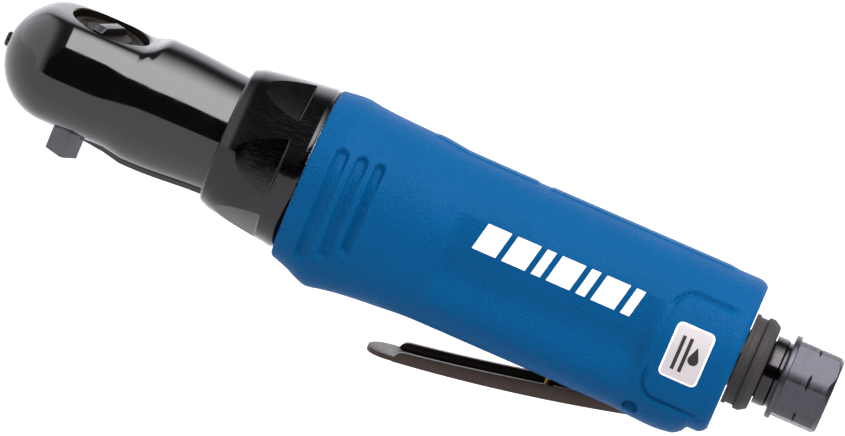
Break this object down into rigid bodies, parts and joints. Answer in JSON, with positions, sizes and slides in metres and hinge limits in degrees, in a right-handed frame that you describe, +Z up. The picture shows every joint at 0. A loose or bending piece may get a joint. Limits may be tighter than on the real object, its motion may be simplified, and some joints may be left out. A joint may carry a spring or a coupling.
{
  "type": "air ratchet",
  "caption": "Straight-bodied air ratchet with a small square drive, reversing knob, hexed clamp nut, moulded grip and underside throttle lever.",
  "frame": {"origin": "centre of the square drive's end face", "axes": "+X along the tool from head to air inlet, +Z up from the drive towards the reversing knob, +Y to the left seen from the air inlet"},
  "size_m": [0.2202, 0.0436, 0.0576],
  "materials": {
    "gloss_black": "gloss black lacquer over forged steel",
    "black_steel": "black oxide, satin",
    "dark_steel": "phosphated, satin",
    "bright_steel": "ground, bright",
    "grey_steel": "turned, satin",
    "blue_composite": "fine leather grain",
    "aluminium": "as turned",
    "brass": "turned",
    "rubber": "nitrile, matt",
    "phenolic": "cloth laminate",
    "felt": "pressed felt",
    "deflector_plastic": "satin moulded",
    "label_foil": "satin film",
    "valve_plastic": "acetal"
  },
  "bodies": {
    "housing": {"ratchet_housing": "gloss_black", "nose_plug": "black_steel", "thrust_washer": "bright_steel", "snap_ring": "dark_steel", "crank_bearing": "bright_steel", "ring_gear": "grey_steel", "clamp_nut": "black_steel", "front_end_plate": "black_steel", "front_bearing": "bright_steel", "motor_cylinder": "grey_steel", "rear_end_plate": "black_steel", "rear_bearing": "bright_steel", "cylinder_dowel": "bright_steel", "motor_housing": "aluminium", "grip": "blue_composite", "oil_label": "label_foil", "lever_pin": "bright_steel", "valve_bushing": "brass", "stem_seal": "rubber", "valve_seat": "bright_steel", "valve_spring": "bright_steel", "inlet_bushing": "grey_steel", "inlet_seal": "rubber", "inlet_screen": "brass", "exhaust_deflector": "deflector_plastic", "exhaust_silencer": "felt"},
    "anvil": {"anvil": "dark_steel", "pawl_pin": "bright_steel", "ball_spring": "bright_steel"},
    "knob": {"reverse_knob": "dark_steel", "detent_spring": "bright_steel", "detent_ball": "bright_steel"},
    "pawl": {"pawl": "bright_steel"},
    "ball": {"retaining_ball": "bright_steel"},
    "yoke": {"yoke": "grey_steel"},
    "crank": {"crankshaft": "grey_steel", "drive_bushing": "bright_steel", "planet_pin_1": "bright_steel", "planet_pin_2": "bright_steel", "planet_pin_3": "bright_steel"},
    "planet_1": {"planet_gear_1": "grey_steel"},
    "planet_2": {"planet_gear_2": "grey_steel"},
    "planet_3": {"planet_gear_3": "grey_steel"},
    "rotor": {"rotor": "grey_steel", "vane_1": "phenolic", "vane_2": "phenolic", "vane_3": "phenolic", "vane_4": "phenolic", "vane_5": "phenolic"},
    "lever": {"throttle_lever": "black_steel"},
    "valve": {"valve_stem": "brass", "throttle_valve": "valve_plastic"}
  },
  "joints": [
    {"name": "anvil_spin", "type": "hinge", "parent": "housing", "child": "anvil", "pos_m": [0, 0, 0], "axis": [0, 0, 1], "continuous": true},
    {"name": "knob_turn", "type": "hinge", "parent": "anvil", "child": "knob", "pos_m": [0, 0, 0.0213], "axis": [0, 0, 1], "range_deg": [0, 52]},
    {"name": "pawl_tilt", "type": "hinge", "parent": "anvil", "child": "pawl", "pos_m": [0.005, 0, 0.0213], "axis": [0, 0, 1], "range_deg": [0, 6]},
    {"name": "ball_press", "type": "slide", "parent": "anvil", "child": "ball", "axis": [0.8192, -0.5736, 0], "range_m": [0, 0.0006], "stiffness_N_per_m": 200, "springref_m": -0.0005},
    {"name": "yoke_rock", "type": "hinge", "parent": "housing", "child": "yoke", "pos_m": [0, 0, 0.0213], "axis": [0, 0, 1], "range_deg": [-6, 6]},
    {"name": "crank_spin", "type": "hinge", "parent": "housing", "child": "crank", "pos_m": [0.03, 0, 0.0213], "axis": [1, 0, 0], "continuous": true},
    {"name": "rotor_spin", "type": "hinge", "parent": "housing", "child": "rotor", "pos_m": [0.085, 0, 0.0213], "axis": [1, 0, 0], "continuous": true},
    {"name": "planet_1_spin", "type": "hinge", "parent": "crank", "child": "planet_1", "pos_m": [0.0506, 0, 0.0294], "axis": [1, 0, 0], "continuous": true},
    {"name": "planet_2_spin", "type": "hinge", "parent": "crank", "child": "planet_2", "pos_m": [0.0506, -0.00702, 0.01725], "axis": [1, 0, 0], "continuous": true},
    {"name": "planet_3_spin", "type": "hinge", "parent": "crank", "child": "planet_3", "pos_m": [0.0506, 0.00702, 0.01725], "axis": [1, 0, 0], "continuous": true},
    {"name": "lever_press", "type": "hinge", "parent": "housing", "child": "lever", "pos_m": [0.1534, 0, 0.0031], "axis": [0, 1, 0], "range_deg": [0, 6], "stiffness_Nm_per_rad": 2, "springref_deg": -28.65},
    {"name": "valve_lift", "type": "slide", "parent": "housing", "child": "valve", "axis": [0, 0, 1], "range_m": [0, 0.0022], "deforming": ["valve_spring"]}
  ],
  "couplings": [
    {"joint": "pawl_tilt", "follows": "knob_turn", "ratio": 0.11539},
    {"joint": "rotor_spin", "follows": "crank_spin", "ratio": 4.5},
    {"joint": "planet_1_spin", "follows": "crank_spin", "ratio": -2.8},
    {"joint": "planet_2_spin", "follows": "crank_spin", "ratio": -2.8},
    {"joint": "planet_3_spin", "follows": "crank_spin", "ratio": -2.8},
    {"joint": "valve_lift", "follows": "lever_press", "m_per_rad": 0.021}
  ]
}
